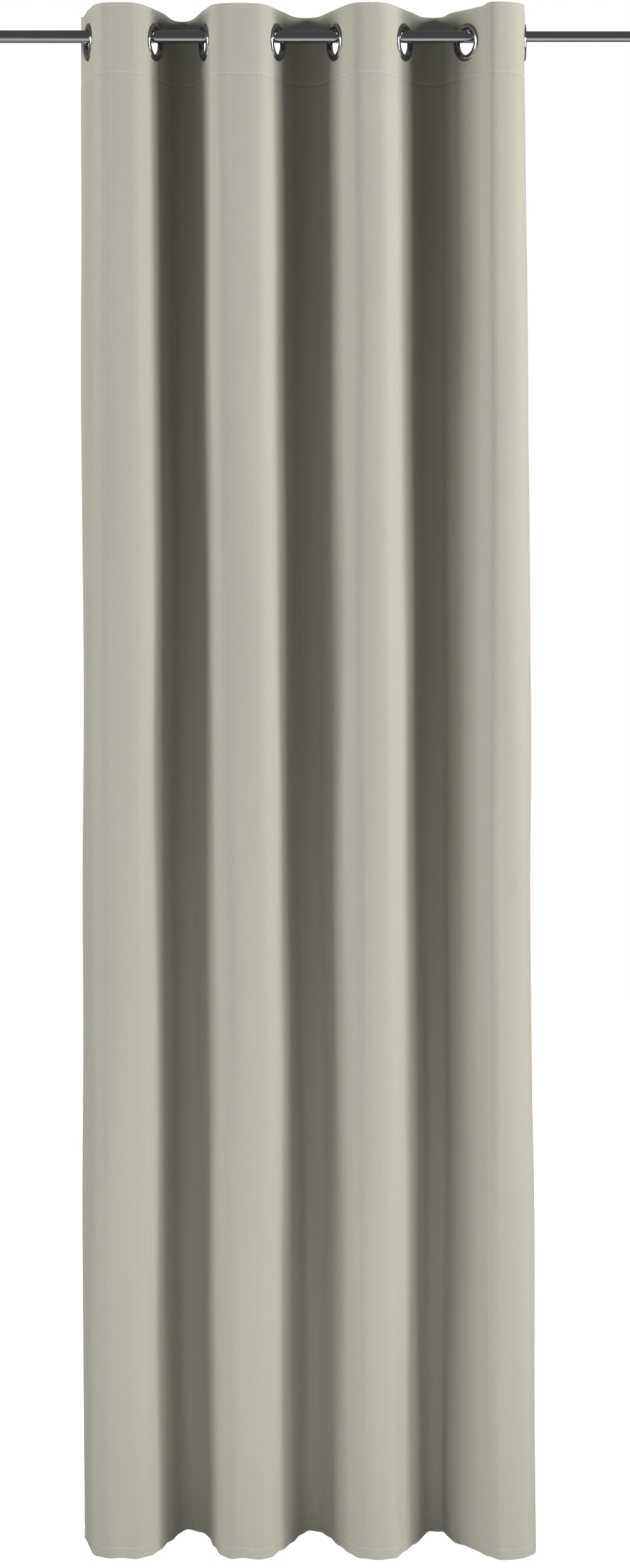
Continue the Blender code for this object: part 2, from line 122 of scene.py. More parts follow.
def read_eyelet(number):
    """Centre, direction along the cloth, direction out of the cloth's face, and both ring radii."""
    ring = node_points(f"eyelet_{number}_front_ring")
    spread = np.cov(ring[:, :2].T)
    across = np.append(np.linalg.eigh(spread)[1][:, 0], 0.0)
    along = np.array([-across[1], across[0], 0.0])
    along *= np.sign(along[0])
    out = np.array([along[1], -along[0], 0.0])
    outer = distance_from_axis(ring, ring.mean(0), out)
    strip = node_points(f"curtain_strip_{number}")
    hole = strip[distance_from_axis(strip, ring.mean(0), out) < outer.max()]
    return {"centre": hole.mean(0), "along": along, "out": out,
            "outer": outer.max(), "bore": outer.min()}


def read_hem_shift(number, eyelet):
    """How far the cloth's flat stretch has moved sideways between the eyelet and the hem.

    The hem point nearest the middle and the one across the cloth from it are the corners at one end of
    the flat stretch. They are carried back along the cloth's direction to the rod's plane.
    """
    strip = np.unique(np.round(node_points(f"curtain_strip_{number}"), 5), axis=0)
    hem = strip[strip[:, 2] < strip[:, 2].min() + MM]
    guess = eyelet["centre"][:2] + (hem.mean(0) - strip[strip[:, 2] > strip[:, 2].max() - MM].mean(0))[:2]
    nearest = hem[np.argmin(np.linalg.norm(hem[:, :2] - guess, axis=1))]
    corner = hem[np.linalg.norm(hem - nearest, axis=1) < 3 * MM].mean(0)
    along = eyelet["along"]
    return corner[0] - (corner[1] - ROD_Y) * along[0] / along[1] - eyelet["centre"][0]


eyelets = [read_eyelet(n + 1) for n in range(EYELETS)]
for number, eyelet in enumerate(eyelets, 1):
    eyelet["hem_shift"] = read_hem_shift(number, eyelet)
    tilt = math.degrees(math.asin(eyelet["along"][0]))
    print(f"eyelet {number}: x {eyelet['centre'][0] * 1000:.1f} mm, {tilt:.1f} degrees off square,",
          f"hem {eyelet['hem_shift'] * 1000:+.1f} mm")

strip_low, strip_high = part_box("curtain_strip_1")
TOP_Z = strip_high.z
DROP = strip_high.z - strip_low.z
print("drop", round(DROP, 3), "m")

# %% [markdown]
# ## The cloth's plan
#
# Seen from above, the cloth is one long wave. Between two eyelets it always holds the same length of
# cloth, because the eyelets were punched at even spaces in the flat panel. So a pair of eyelets that
# stands close together gets a deep fold, and a pair that stands wide apart gets a shallow one. We use
# that rule to find each fold's depth.
#
# A half fold is a straight stretch through the eyelet and a cubic curve from there to the crown. The
# rows of the panel are worked out together: every control point is an array with one entry per row.

# %% Sizes of the flat panel
SPAN = 0.187                   # cloth from one eyelet's centre to the next
MARGIN = 0.045                 # cloth outside the first and the last eyelet
HEADING = 0.1095               # depth of the turned heading, down to its stitch line
HALF_STEPS = 36                # grid steps from an eyelet's centre to the crown beside it
MARGIN_STEPS = 18
SEAM_STEPS = 12                # the panel is divided this many steps before each eyelet
MARGIN_CURL = math.radians(20) # how far the left margin turns outwards at the top
STEP = SPAN / 2 / HALF_STEPS
FLAT_WIDTH = (EYELETS - 1) * SPAN + 2 * MARGIN
print("flat panel", round(FLAT_WIDTH, 3), "x", round(DROP, 3), "m")


def smooth(x):
    """0 below 0, 1 above 1 and an S between: 3x^2 - 2x^3."""
    x = np.clip(x, 0.0, 1.0)
    return x * x * (3 - 2 * x)


def row_places():
    """Distances of the grid's rows from the top edge, close together where there is stitching."""
    stretches = [(0.0, 0.012, 0.0015), (0.012, 0.096, 0.0025), (0.096, 0.124, 0.0014),
                 (0.124, 0.30, 0.005), (0.30, DROP - 0.034, 0.0075), (DROP - 0.034, DROP, 0.0017)]
    rows = [np.linspace(a, b, max(2, round((b - a) / step) + 1))[:-1] for a, b, step in stretches]
    return np.append(np.concatenate(rows), DROP)


v = row_places()
fall = np.clip((v - HEADING) / (DROP - HEADING), 0, 1)     # 0 down to the heading's foot, 1 at the hem
loose = smooth(fall / 0.12)                                # how far the cloth has left the eyelets' grip
FLAT_STRETCH = 0.032 - 0.012 * loose                       # half the straight stretch at an eyelet
SHOULDER = 0.025 + 0.008 * loose                           # handle of the curve where it leaves the flat
FULLNESS = 0.50 + 0.04 * loose                             # handle at the crown, as a share of half the pitch
print(len(v), "rows")


# %% Half folds
def fold_side(k):
    """-1 for a fold in front of the rod, +1 for a fold behind it."""
    return -1 if k % 2 == 0 else 1


def line_at(k):
    """Where the cloth crosses the rod's plane at eyelet k, in every row: x and y as columns."""
    sway = eyelets[k]["hem_shift"] * fall ** 0.8
    return np.stack([eyelets[k]["centre"][0] + sway, np.full_like(v, ROD_Y)], axis=1)


def bezier(p0, p1, p2, p3, q):
    """Cubic curve for arrays of control points (rows, 2) and shares q (rows, columns)."""
    q = q[..., None]
    r = 1 - q
    p0, p1, p2, p3 = (p[:, None, :] for p in (p0, p1, p2, p3))
    return r ** 3 * p0 + 3 * r * r * q * p1 + 3 * r * q * q * p2 + q ** 3 * p3


def half_fold(k, leaving, depth, distance):
    """Points of half a fold at these distances of cloth from the eyelet, for every row.

    The first stretch is straight along the cloth's direction through the eyelet. The rest is a cubic
    curve that starts in that direction and reaches the crown square to it, halfway between the eyelets.
    """
    near = k if leaving else k + 1
    way = 1 if leaving else -1
    direction = way * eyelets[near]["along"][:2]
    first, second = line_at(k), line_at(k + 1)
    crown = (first + second) / 2
    crown[:, 1] += fold_side(k) * depth
    reach = np.stack([way * FULLNESS * (second[:, 0] - first[:, 0]) / 2, np.zeros_like(v)], axis=1)
    middle = line_at(near)
    start = middle + FLAT_STRETCH[:, None] * direction
    flat = middle[:, None, :] + distance[None, :, None] * direction
    share = (distance[None, :] - FLAT_STRETCH[:, None]) / (SPAN / 2 - FLAT_STRETCH[:, None])
    curve = bezier(start, start + SHOULDER[:, None] * direction, crown - reach, crown, np.clip(share, 0, 1))
    return np.where((share < 0)[..., None], flat, curve)


def fold_depth(k):
    """Depth of a fold in every row, found by halving, so that each span holds SPAN of cloth."""
    shallow, deep = np.full_like(v, 0.3 * SPAN), np.full_like(v, 0.6 * SPAN)
    distance = np.linspace(0, SPAN / 2, 60)
    for _ in range(24):
        depth = (shallow + deep) / 2
        length = 0
        for leaving in (True, False):
            points = half_fold(k, leaving, depth, distance)
            length = length + np.linalg.norm(np.diff(points, axis=1), axis=2).sum(1)
        short = length < SPAN
        shallow, deep = np.where(short, depth, shallow), np.where(short, deep, depth)
    return (shallow + deep) / 2


depths = [fold_depth(k) for k in range(EYELETS - 1)]
print("fold depths at the heading, mm:", [round(d[0] * 1000) for d in depths])
print("fold depths at the hem, mm:", [round(d[-1] * 1000) for d in depths])


# %% The whole panel as one grid
def margin(k):
    """The free edge outside the first or last eyelet: straight out from the eyelet's flat stretch. The
    left one then turns outwards by MARGIN_CURL at the top, and by nothing at the hem."""
    way = -1 if k == 0 else 1
    x, y, _ = way * eyelets[k]["along"]
    distance = np.linspace(0, MARGIN, MARGIN_STEPS + 1)[1:]
    curl = MARGIN_CURL * (1 - smooth(fall / 0.5)) * (k == 0)
    turn = curl[:, None] * smooth((distance - 0.026) / (MARGIN - 0.026))[None]
    cosine, sine = np.cos(turn), np.sin(turn)
    heading_to = np.stack([cosine * x - sine * y, sine * x + cosine * y], axis=2)
    steps = np.diff(distance, prepend=0)[None, :, None] * heading_to
    return line_at(k)[:, None, :] + np.cumsum(steps, axis=1)


def whole_plan():
    """Every row of the panel from its left edge to its right edge, and each column's flat distance."""
    out = np.linspace(0, SPAN / 2, HALF_STEPS + 1)
    columns = [margin(0)[:, ::-1], line_at(0)[:, None]]
    for k in range(EYELETS - 1):
        leaving = half_fold(k, True, depths[k], out)
        arriving = half_fold(k, False, depths[k], out)
        columns += [leaving[:, 1:], arriving[:, -2::-1]]
    columns.append(margin(EYELETS - 1))
    margin_flat = np.linspace(0, MARGIN, MARGIN_STEPS + 1)
    spans = MARGIN + np.linspace(0, (EYELETS - 1) * SPAN, 2 * HALF_STEPS * (EYELETS - 1) + 1)
    flat = np.concatenate([margin_flat[:-1], spans, spans[-1] + margin_flat[1:]])
    return np.concatenate(columns, axis=1), flat


plan, u = whole_plan()
surface = np.dstack([plan, np.broadcast_to((TOP_Z - v)[:, None], plan.shape[:2])])
U, V = np.meshgrid(u, v)
print("grid", surface.shape[:2])


def eyelet_column(k):
    return MARGIN_STEPS + 2 * HALF_STEPS * k


# %% [markdown]
# ## Life in the cloth
#
# Real cloth never hangs as a clean extrusion. The stitched heading puckers, the eyelets pull small
# creases round themselves, and the free length below drifts in long, shallow waves. Each of these is
# a height added along the surface's normal. A cloth simulation could make the long waves, but it
# would also lose the eyelets' exact places, so the heights are made from sums of waves with fixed
# seeds, which give the same cloth each time.

# %% Heights along the normal
def grid_normals(points):
    """Unit normals of a grid: the cross product of its two directions of travel."""
    down, along = np.gradient(points, axis=0), np.gradient(points, axis=1)
    normal = np.cross(down, along)
    return normal / np.linalg.norm(normal, axis=2, keepdims=True)


def waves(seed, count, along, down, size):
    """A sum of cosines: amplitudes share out size, and wavelengths are drawn round along and down."""
    rng = np.random.default_rng(seed)
    total = np.zeros_like(U)
    for _ in range(count):
        a = along * rng.uniform(0.6, 1.7) * rng.choice([-1, 1])
        d = down * rng.uniform(0.6, 1.7)
        total += rng.uniform(0.5, 1.0) * np.cos(2 * math.pi * (U / a + V / d) + rng.uniform(0, 2 * math.pi))
    return size * total / (0.75 * count ** 0.5)


def groove(centre, width):
    """1 on a line across the panel, falling off as a bell curve."""
    return np.exp(-((V - centre) / width) ** 2)


HEM_STITCH = 0.017             # from the bottom edge
TOP_STITCH = 0.0048            # from the top edge
SIDE_HEM = 0.022

DRAG_CREASE = 0.55 * MM        # height of the creases round an eyelet
FOLD_DROOP = 5.5 * MM          # how far the top edge sinks at the second fold
CORNER_DROOP = 5 * MM          # and at its left corner

free = smooth((V - HEADING - 0.03) / 0.5)
height = waves(3, 7, 0.30, 1.3, 1.6 * MM) * free
height += waves(5, 8, 0.07, 0.75, 0.7 * MM) * free
height += waves(7, 10, 0.030, 0.045, 0.07 * MM) * smooth((V - 0.02) / 0.05)
pucker = waves(11, 9, 0.016, 0.30, 0.28 * MM)
height += pucker * (groove(HEADING, 0.010) + 0.6 * groove(TOP_STITCH, 0.004))
height += waves(13, 9, 0.018, 0.30, 0.35 * MM) * groove(DROP - HEM_STITCH, 0.010)
for line, depth in ((HEADING, 0.75), (TOP_STITCH, 0.35), (DROP - HEM_STITCH, 0.45)):
    height -= depth * MM * groove(line, 0.0020)

hole_distance = np.full_like(U, 1.0)
for k, eyelet in enumerate(eyelets):
    du, dv = U - u[eyelet_column(k)], V - (TOP_Z - eyelet["centre"][2])
    distance = np.hypot(du, dv)
    angle = np.arctan2(dv, du)
    rng = np.random.default_rng(20 + k)
    rays = sum(np.cos(n * angle + rng.uniform(0, 6.28)) * rng.uniform(0.4, 1.0) for n in (2, 3, 5))
    ripple = np.exp(-((distance - 0.042) / 0.014) ** 2) * smooth((distance - 0.031) / 0.006)
    height += DRAG_CREASE * rays * ripple
    height *= smooth((distance - 0.024) / 0.010)       # flat under the ring
    hole_distance = np.minimum(hole_distance, distance)

surface = surface + height[..., None] * grid_normals(surface)
surface[..., 2] += waves(17, 6, 0.06, 5.0, 1.0 * MM) * smooth((V - DROP + 0.05) / 0.05)
second_fold = u[eyelet_column(1)] + SPAN / 2
droop = FOLD_DROOP * np.exp(-((U - second_fold) / 0.040) ** 2) + CORNER_DROOP * smooth(1 - U / 0.040)
surface[..., 2] -= droop * np.exp(-V / 0.06)
normals = grid_normals(surface)
print("relief from", round(height.min() * 1000, 2), "to", round(height.max() * 1000, 2), "mm")

# %% [markdown]
# ## From grid to cloth with two faces
#
# The panel is lined, and its edges are turned under: the heading, the hem and both side hems are
# twice as thick as the rest, and the extra thickness shows on the back only. So the front face is the
# grid moved out by a constant, and the back face is moved the other way by an amount that depends on
# where it is. The eyelet holes are left out of the grid, and a rim joins front and back wherever the
# cloth ends.
#
# The panel is one piece of cloth, but it has to bend while the eyelets slide along the rod, so it is
# divided at each crown and just before each eyelet. Both sides of a division share the same points
# and the same normals, and it can't be seen.

# %% Cloth pieces
FRONT_FACE = 0.7 * MM
BACK_FACE = 0.5 * MM
TURNING = 0.6 * MM


def back_thickness():
    """The back face's distance from the grid: more over the turned heading, hem and side hems."""
    turned_under = np.maximum.reduce([
        smooth((HEADING + 0.002 - V) / 0.0015), smooth((V - DROP + HEM_STITCH + 0.002) / 0.0015),
        smooth((SIDE_HEM - U) / 0.003), smooth((U - FLAT_WIDTH + SIDE_HEM) / 0.003)])
    return BACK_FACE + TURNING * turned_under


front = surface + FRONT_FACE * normals
back = surface - back_thickness()[..., None] * normals
HOLE_PLAY = 1.6 * MM           # from the eyelet's bore, past its barrel
HOLE = eyelets[0]["bore"] + HOLE_PLAY


def round_the_holes(layer):
    """Pulls the grid's points at each hole's edge onto a true circle in the eyelet's plane."""
    out = layer.copy()
    near = (hole_distance > HOLE - 0.6 * STEP) & (hole_distance < HOLE + 0.6 * STEP)
    for k, eyelet in enumerate(eyelets):
        here = near & (np.abs(U - u[eyelet_column(k)]) < SPAN / 4)
        offset = layer[here] - eyelet["centre"]
        flat = offset - np.outer(offset @ eyelet["out"], eyelet["out"])
        length = np.linalg.norm(flat, axis=1, keepdims=True)
        out[here] += flat / length * (HOLE - length)
    return out


front, back = round_the_holes(front), round_the_holes(back)


def closed_cloth(name, first, last):
    """A closed mesh of columns first to last: front quads, back quads turned round, and rim quads."""
    rows, columns = len(v), last - first + 1
    cut = (slice(None), slice(first, last + 1))
    count = rows * columns
    index = np.arange(count).reshape(rows, columns)
    middle = (hole_distance[:-1, :-1] + hole_distance[1:, 1:] + hole_distance[1:, :-1]
              + hole_distance[:-1, 1:]) / 4
    kept = middle[:, first:last] > HOLE
    a, b = index[:-1, :-1][kept], index[:-1, 1:][kept]
    c, d = index[1:, 1:][kept], index[1:, :-1][kept]
    faces = [np.stack([a, d, c, b], 1), count + np.stack([a, b, c, d], 1)]
    # an edge that only one kept quad uses lies on the rim
    edges = np.concatenate([np.stack(pair, 1) for pair in ((a, d), (d, c), (c, b), (b, a))])
    low, high = edges.min(1), edges.max(1)
    key = low.astype(np.int64) * count + high
    values, where, uses = np.unique(key, return_index=True, return_counts=True)
    rim = edges[where[uses == 1]]
    faces.append(np.stack([rim[:, 1], rim[:, 0], rim[:, 0] + count, rim[:, 1] + count], 1))
    faces = np.concatenate(faces)
    points = np.concatenate([front[cut].reshape(-1, 3), back[cut].reshape(-1, 3)])
    flat = np.stack([U[cut], V[cut]], axis=2).reshape(-1, 2)
    flat = np.concatenate([flat, flat + [2.0, 0.0]])
    out = normals[cut].reshape(-1, 3)
    shading = np.concatenate([out, -out])
    used = np.unique(faces)
    renumber = np.zeros(2 * count, int)
    renumber[used] = np.arange(len(used))
    mesh = bpy.data.meshes.new(name)
    mesh.from_pydata(points[used].tolist(), [], renumber[faces].tolist())
    uv = mesh.uv_layers.new(name="flat_cloth")
    corner = np.empty(len(mesh.loops), int)
    mesh.loops.foreach_get("vertex_index", corner)
    uv.data.foreach_set("uv", flat[used][corner].astype(np.float32).ravel())
    mesh.shade_smooth()
    mesh.normals_split_custom_set_from_vertices(shading[used].tolist())
    obj = bpy.data.objects.new(name, mesh)
    bpy.context.scene.collection.objects.link(obj)
    return obj


def crown_column(k):
    return eyelet_column(k) + HALF_STEPS


cloth_pieces = []
for k in range(EYELETS - 1):
    first = 0 if k == 0 else eyelet_column(k) - SEAM_STEPS
    cloth_pieces.append({"piece": closed_cloth(f"cloth_through_eyelet_{k + 1}", first, crown_column(k)),
                         "columns": (first, crown_column(k)), "fold": k, "leaving": True})
    last = len(u) - 1 if k == EYELETS - 2 else eyelet_column(k + 1) - SEAM_STEPS
    cloth_pieces.append({"piece": closed_cloth(f"cloth_after_crown_{k + 1}", crown_column(k), last),
                         "columns": (crown_column(k), last), "fold": k, "leaving": False})
print(len(cloth_pieces), "cloth pieces,", sum(len(c["piece"].data.polygons) for c in cloth_pieces), "quads")

# %% [markdown]
# ## Shared finishes
#
# The cloth is a plain weave: each thread passes over one and under the next. The group below gives
# its height from the flat cloth's own coordinates. A cell where the upright thread lies on top has a
# round profile across, and a cell where the level thread lies on top has one up and down. Slubs,
# short thick places in the yarn, are noise drawn out along each thread's direction.

# %% Node helpers
def new_group(name, inputs, outputs):
    """An empty node group with these sockets, each given as (name, type, value)."""
    group = bpy.data.node_groups.new(name, "ShaderNodeTree")
    for label, kind, value in inputs:
        socket = group.interface.new_socket(label, in_out="INPUT", socket_type=kind)
        if value is not None:
            socket.default_value = value
    for label, kind in outputs:
        group.interface.new_socket(label, in_out="OUTPUT", socket_type=kind)
    return group, group.nodes.new("NodeGroupInput").outputs, group.nodes.new("NodeGroupOutput").inputs


def plug(tree, source, target):
    """Joins a socket to a socket, or sets a plain value."""
    if isinstance(source, (int, float, tuple)):
        target.default_value = source
    else:
        tree.links.new(source, target)


def maths(tree, operation, a, b=0.0, c=0.0):
    node = tree.nodes.new("ShaderNodeMath")
    node.operation = operation
    for value, socket in zip((a, b, c), node.inputs):
        plug(tree, value, socket)
    return node.outputs[0]


def noise(tree, vector, scale, detail=2.0, rough=0.5):
    node = tree.nodes.new("ShaderNodeTexNoise")
    plug(tree, vector, node.inputs["Vector"])
    plug(tree, scale, node.inputs["Scale"])
    node.inputs["Detail"].default_value = detail
    node.inputs["Roughness"].default_value = rough
    return node.outputs["Fac"]


def stretched(tree, vector, scale):
    """Scales a vector by three numbers."""
    node = tree.nodes.new("ShaderNodeMapping")
    plug(tree, vector, node.inputs["Vector"])
    node.inputs["Scale"].default_value = scale
    return node.outputs["Vector"]


def mixed(tree, share, a, b):
    node = tree.nodes.new("ShaderNodeMix")
    node.data_type = "RGBA"
    plug(tree, share, node.inputs["Factor"])
    plug(tree, a, node.inputs["A"])
    plug(tree, b, node.inputs["B"])
    return node.outputs["Result"]


# %% Plain weave group
def plain_weave_group():
    """Height of a plain weave from flat coordinates in metres, and slub masks for both threads.

    With p and q the coordinates counted in threads, the parity of floor(p) + floor(q) says which thread
    is on top, and its height is 1 - 4x^2 across the thread times 1 - 2y^2 along it.
    """
    group, given, result = new_group(
        "plain weave",
        [("Flat", "NodeSocketVector", None), ("Threads per metre", "NodeSocketFloat", 1800.0)],
        [("Height", "NodeSocketFloat"), ("Slub", "NodeSocketFloat"), ("Mottle", "NodeSocketFloat")])
    split = group.nodes.new("ShaderNodeSeparateXYZ")
    plug(group, given["Flat"], split.inputs[0])
    p = maths(group, "MULTIPLY", split.outputs[0], given["Threads per metre"])
    q = maths(group, "MULTIPLY", split.outputs[1], given["Threads per metre"])
    parity = maths(group, "MODULO", maths(group, "ABSOLUTE", maths(
        group, "ADD", maths(group, "FLOOR", p), maths(group, "FLOOR", q))), 2.0)
    x = maths(group, "SUBTRACT", maths(group, "FRACT", p), 0.5)
    y = maths(group, "SUBTRACT", maths(group, "FRACT", q), 0.5)
    xx, yy = maths(group, "MULTIPLY", x, x), maths(group, "MULTIPLY", y, y)

    def thread(across, length):
        return maths(group, "MULTIPLY", maths(group, "MULTIPLY_ADD", across, -4.0, 1.0),
                     maths(group, "MULTIPLY_ADD", length, -2.0, 1.0))

    upright = maths(group, "MULTIPLY", thread(xx, yy), maths(group, "SUBTRACT", 1.0, parity))
    level = maths(group, "MULTIPLY", thread(yy, xx), parity)
    plug(group, maths(group, "ADD", upright, level), result["Height"])
    long_slubs = noise(group, stretched(group, given["Flat"], (650.0, 14.0, 1.0)), 1.0, 2.0)
    cross_slubs = noise(group, stretched(group, given["Flat"], (16.0, 700.0, 1.0)), 1.0, 2.0)
    plug(group, maths(group, "MULTIPLY", maths(group, "ADD", long_slubs, cross_slubs), 0.5), result["Slub"])
    plug(group, noise(group, given["Flat"], 9.0, 3.0), result["Mottle"])
    return group


# %% Drawn metal group
def drawn_metal_group():
    """Fine lines along a tube: noise stretched several hundredfold along one axis, and soft clouds."""
    group, given, result = new_group(
        "drawn metal",
        [("Place", "NodeSocketVector", None), ("Line scale", "NodeSocketVector", (1.5, 900.0, 900.0))],
        [("Lines", "NodeSocketFloat"), ("Clouds", "NodeSocketFloat")])
    scaled = group.nodes.new("ShaderNodeVectorMath")
    scaled.operation = "MULTIPLY"
    plug(group, given["Place"], scaled.inputs[0])
    plug(group, given["Line scale"], scaled.inputs[1])
    plug(group, noise(group, scaled.outputs[0], 1.0, 3.0), result["Lines"])
    plug(group, noise(group, given["Place"], 35.0, 4.0), result["Clouds"])
    return group


WEAVE = plain_weave_group()
DRAWN = drawn_metal_group()


def new_material(name):
    material = bpy.data.materials.new(name)
    material.use_nodes = True
    tree = material.node_tree
    return material, tree, tree.nodes["Principled BSDF"]


def place_group(tree, group, **values):
    node = tree.nodes.new("ShaderNodeGroup")
    node.node_tree = group
    for label, value in values.items():
        plug(tree, value, node.inputs[label.replace("_", " ")])
    return node.outputs


def bump(tree, shader, height, strength, distance):
    node = tree.nodes.new("ShaderNodeBump")
    node.inputs["Strength"].default_value = strength
    node.inputs["Distance"].default_value = distance
    plug(tree, height, node.inputs["Height"])
    tree.links.new(node.outputs["Normal"], shader.inputs["Normal"])


def level(tree, value, low, high):
    """Spreads a value that runs from 0 to 1 between low and high."""
    return maths(tree, "MULTIPLY_ADD", value, high - low, low)


# %% [markdown]
# ## Cloth and thread
#
# The cloth is a warm grey, matt but not dead: its fibres catch light at a grazing angle, which the
# shader's sheen gives. Colour varies a little with the slubs and, very softly, over hand-sized areas.
# It is also painted a little darker where the threads of the weave dip: that is painted shade
# between the threads.

# %% Cloth material
def cloth_material(name, pale, dark, thread_spacing):
    material, tree, shader = new_material(name)
    coordinates = tree.nodes.new("ShaderNodeUVMap")
    coordinates.uv_map = "flat_cloth"
    weave = place_group(tree, WEAVE, Flat=coordinates.outputs[0], Threads_per_metre=thread_spacing)
    slub = level(tree, weave["Slub"], -0.9, 1.9)
    # slubs and mottle are the yarn's own tone; the weave's height adds painted shade where the threads dip
    tone_and_weave_shade = maths(tree, "ADD", maths(tree, "MULTIPLY", slub, 0.55),
                 maths(tree, "ADD", maths(tree, "MULTIPLY", weave["Mottle"], 0.30),
                       maths(tree, "MULTIPLY", weave["Height"], 0.15)))
    plug(tree, mixed(tree, tone_and_weave_shade, (*dark, 1.0), (*pale, 1.0)), shader.inputs["Base Color"])
    plug(tree, level(tree, weave["Height"], 0.92, 0.80), shader.inputs["Roughness"])
    relief = maths(tree, "MULTIPLY_ADD", slub, 0.6, weave["Height"])
    bump(tree, shader, relief, 0.55, 0.12 * MM)
    shader.inputs["Sheen Weight"].default_value = 0.15
    shader.inputs["Sheen Roughness"].default_value = 0.45
    shader.inputs["Specular IOR Level"].default_value = 0.12
    return material


CLOTH = cloth_material("greige cloth", (0.436, 0.422, 0.354), (0.398, 0.384, 0.318), 1700.0)
for entry in cloth_pieces:
    entry["piece"].data.materials.append(CLOTH)

# %% [markdown]
# ## Stitching
#
# A machine stitch is a short length of thread that dives into the cloth at both ends. Each one here
# is a small bent bar with a few dozen faces, laid along a line of the flat cloth and lifted onto its
# face. The lines are the heading's foot, the top edge, the hem and the two side hems.

# %% Stitches
STITCH = 4.1 * MM              # from one stitch to the next
STITCH_LENGTH = 3.1 * MM
THREAD_RADIUS = 0.42 * MM
RING_SIDES = 6
BAR_RINGS = 5


def face_point(uu, vv, side):
    """Point and frame on the cloth's face at flat coordinates: bilinear between the grid's points."""
    layer = front if side > 0 else back
    i = np.clip(np.searchsorted(v, vv, side="right") - 1, 0, len(v) - 2)
    j = np.clip(np.searchsorted(u, uu, side="right") - 1, 0, len(u) - 2)
    a = ((vv - v[i]) / (v[i + 1] - v[i]))[:, None]
    b = ((uu - u[j]) / (u[j + 1] - u[j]))[:, None]
    def blend_of(grid):
        return ((1 - a) * ((1 - b) * grid[i, j] + b * grid[i, j + 1])
                + a * ((1 - b) * grid[i + 1, j] + b * grid[i + 1, j + 1]))
    out = side * blend_of(normals)
    return blend_of(layer), out / np.linalg.norm(out, axis=1, keepdims=True)


def stitch_bars(starts, ends, side):
    """Bars from start to end in flat coordinates. Each ring's centre is lifted by a sine arch, and its
    radius shrinks at both ends, so the bar dives into the cloth."""
    t = np.linspace(0, 1, BAR_RINGS)
    uu = starts[:, None, 0] + t * (ends - starts)[:, None, 0]
    vv = starts[:, None, 1] + t * (ends - starts)[:, None, 1]
    place, out = face_point(uu.ravel(), vv.ravel(), side)
    place, out = place.reshape(*uu.shape, 3), out.reshape(*uu.shape, 3)
    along = np.gradient(place, axis=1)
    along /= np.linalg.norm(along, axis=2, keepdims=True)
    aside = np.cross(along, out)
    arch = np.sin(math.pi * t)
    lift = THREAD_RADIUS * (1.3 * arch - 0.9)
    radius = THREAD_RADIUS * (0.45 + 0.55 * arch)
    angle = 2 * math.pi * np.arange(RING_SIDES) / RING_SIDES
    ring = (np.cos(angle)[None, None, :, None] * aside[:, :, None]
            + np.sin(angle)[None, None, :, None] * out[:, :, None])
    points = (place + lift[:, None] * out)[:, :, None] + radius[:, None, None] * ring
    count = len(starts)
    base = np.arange(count * BAR_RINGS * RING_SIDES).reshape(count, BAR_RINGS, RING_SIDES)
    nxt = np.roll(base, -1, axis=2)
    sides = np.stack([base[:, :-1], nxt[:, :-1], nxt[:, 1:], base[:, 1:]], axis=-1).reshape(-1, 4)
    caps = [base[:, 0, ::-1].tolist(), base[:, -1].tolist()]
    return points.reshape(-1, 3), sides.tolist() + caps[0] + caps[1]


def stitch_line(across, fixed, low, high, jitter_seed):
    """Starts and ends of stitches on a line across the panel (fixed v) or down it (fixed u)."""
    count = int((high - low) / STITCH)
    at = low + (np.arange(count) + 0.5) * (high - low) / count
    rng = np.random.default_rng(jitter_seed)
    wander = fixed + rng.normal(0, 0.12 * MM, count)
    a, b = at - STITCH_LENGTH / 2, at + STITCH_LENGTH / 2
    if across:
        return np.stack([a, wander], 1), np.stack([b, wander], 1)
    return np.stack([wander, a], 1), np.stack([wander, b], 1)


STITCH_LINES = [
    (True, HEADING, SIDE_HEM / 2, FLAT_WIDTH - SIDE_HEM / 2, 31),
    (True, TOP_STITCH, 0.002, FLAT_WIDTH - 0.002, 32),
    (True, DROP - HEM_STITCH, 0.002, FLAT_WIDTH - 0.002, 33),
    (False, SIDE_HEM - 0.002, 0.004, DROP - 0.004, 34),
    (False, FLAT_WIDTH - SIDE_HEM + 0.002, 0.004, DROP - 0.004, 35),
]
lines = [stitch_line(*line) for line in STITCH_LINES]
all_starts, all_ends = (np.concatenate(part) for part in zip(*lines))
stitch_middle = (all_starts[:, 0] + all_ends[:, 0]) / 2
print(len(all_starts), "stitches on each face")


def thread_material():
    material, tree, shader = new_material("sewing thread")
    place = tree.nodes.new("ShaderNodeTexCoord").outputs["Object"]
    twist = noise(tree, place, 2500.0, 2.0)
    colour = mixed(tree, twist, (0.56, 0.545, 0.47, 1.0), (0.70, 0.68, 0.59, 1.0))
    plug(tree, colour, shader.inputs["Base Color"])
    bump(tree, shader, twist, 0.5, 0.1 * MM)
    shader.inputs["Roughness"].default_value = 0.55
    shader.inputs["Sheen Weight"].default_value = 0.3
    return material


THREAD = thread_material()


def stitches_for(entry):
    """The stitches, front and back, whose middles lie on one piece of the panel."""
    first, last = entry["columns"]
    here = (stitch_middle >= u[first]) & (stitch_middle < u[last])
    points, faces, offset = [], [], 0
    for side in (1, -1):
        some, quads = stitch_bars(all_starts[here], all_ends[here], side)
        points.append(some)
        faces += [[i + offset for i in face] for face in quads]
        offset += len(some)
    name = entry["piece"].name.replace("cloth", "stitches")
    mesh = bpy.data.meshes.new(name)
    mesh.from_pydata(np.concatenate(points).tolist(), [], faces)
    mesh.shade_smooth()
    mesh.materials.append(THREAD)
    obj = bpy.data.objects.new(name, mesh)
    bpy.context.scene.collection.objects.link(obj)
    return obj


for entry in cloth_pieces:
    entry["stitches"] = stitches_for(entry)
